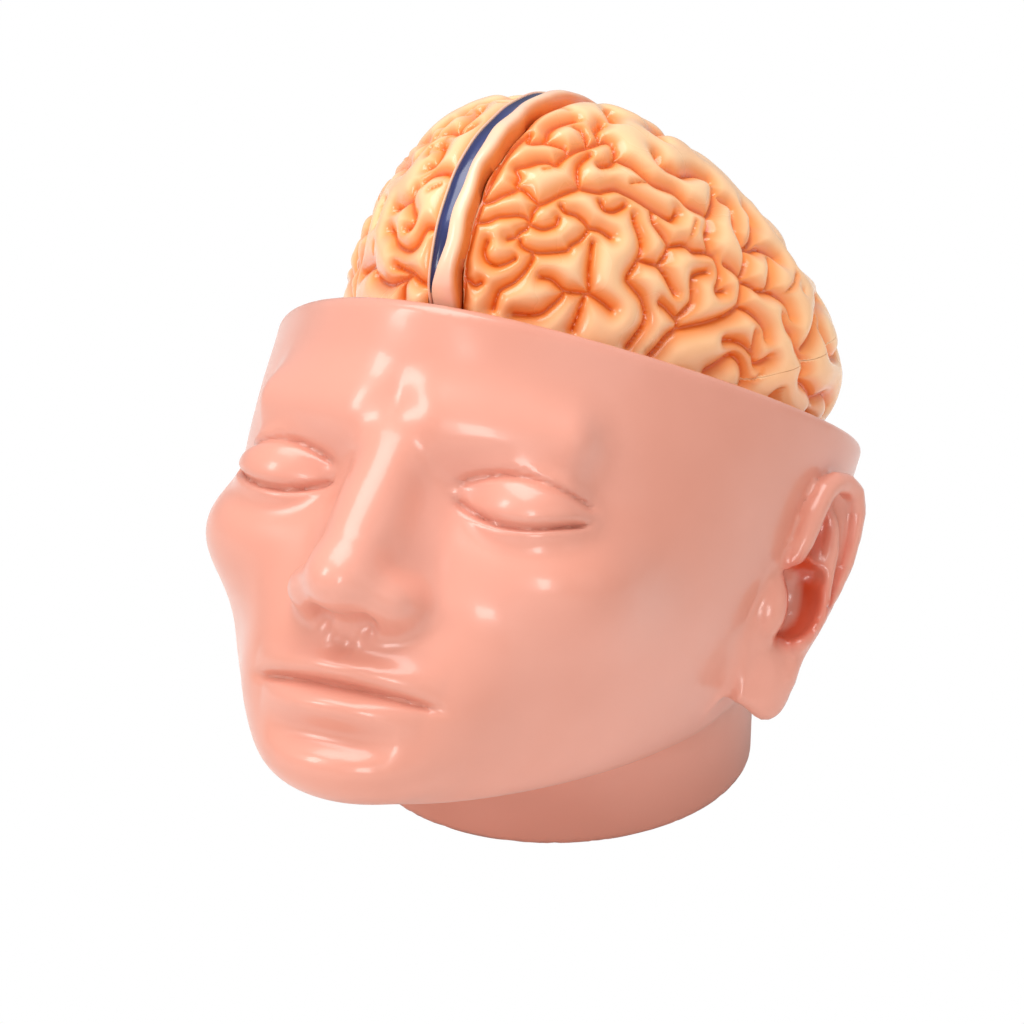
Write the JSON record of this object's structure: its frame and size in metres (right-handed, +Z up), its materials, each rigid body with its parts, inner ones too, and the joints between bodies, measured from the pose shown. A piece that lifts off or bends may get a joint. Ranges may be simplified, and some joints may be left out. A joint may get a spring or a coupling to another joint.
{
  "type": "brain anatomy model in a cut-open head",
  "caption": "Cast head cut open below the crown, with a lift-out brain that parts into upper and lower halves on each side of a falx with a blue sinus.",
  "frame": {"origin": "centre of the neck's flat base", "axes": "+Z up, the face looks to -Y and up, +X is the model's own left side"},
  "size_m": [0.1764, 0.2277, 0.1981],
  "materials": {
    "skin": "glossy cast plastic, flesh pink",
    "cortex": "glossy cast plastic, warm orange",
    "hindbrain": "glossy cast plastic, pale orange",
    "dura": "painted cream",
    "sinus_blue": "painted dark blue",
    "pin_white": "plain white plastic"
  },
  "bodies": {
    "head": {"head_base": "skin", "brainstem_left": "hindbrain", "brainstem_right": "hindbrain", "cerebellum_left": "hindbrain", "cerebellum_right": "hindbrain", "brainstem_pin_left": "pin_white", "brainstem_pin_right": "pin_white", "cerebellum_pin_left": "pin_white", "cerebellum_pin_right": "pin_white"},
    "lower_left": {"temporal_occipital_left": "cortex", "cerebrum_pin_front_left": "pin_white", "cerebrum_pin_rear_left": "pin_white"},
    "lower_right": {"temporal_occipital_right": "cortex", "cerebrum_pin_front_right": "pin_white", "cerebrum_pin_rear_right": "pin_white"},
    "upper_left": {"frontal_parietal_left": "cortex", "falx_cerebri": "dura", "superior_sagittal_sinus": "sinus_blue", "falx_pin_front": "pin_white", "falx_pin_rear": "pin_white"},
    "upper_right": {"frontal_parietal_right": "cortex"}
  },
  "joints": [
    {"name": "lower_left_lift", "type": "slide", "parent": "head", "child": "lower_left", "axis": [0, 0.4894, 0.8721], "range_m": [0, 0.1]},
    {"name": "lower_right_lift", "type": "slide", "parent": "head", "child": "lower_right", "axis": [0, 0.4894, 0.8721], "range_m": [0, 0.1]},
    {"name": "upper_left_lift", "type": "slide", "parent": "lower_left", "child": "upper_left", "axis": [0, 0.4894, 0.8721], "range_m": [0, 0.1]},
    {"name": "upper_right_lift", "type": "slide", "parent": "lower_right", "child": "upper_right", "axis": [0, 0.4894, 0.8721], "range_m": [0, 0.1]}
  ]
}
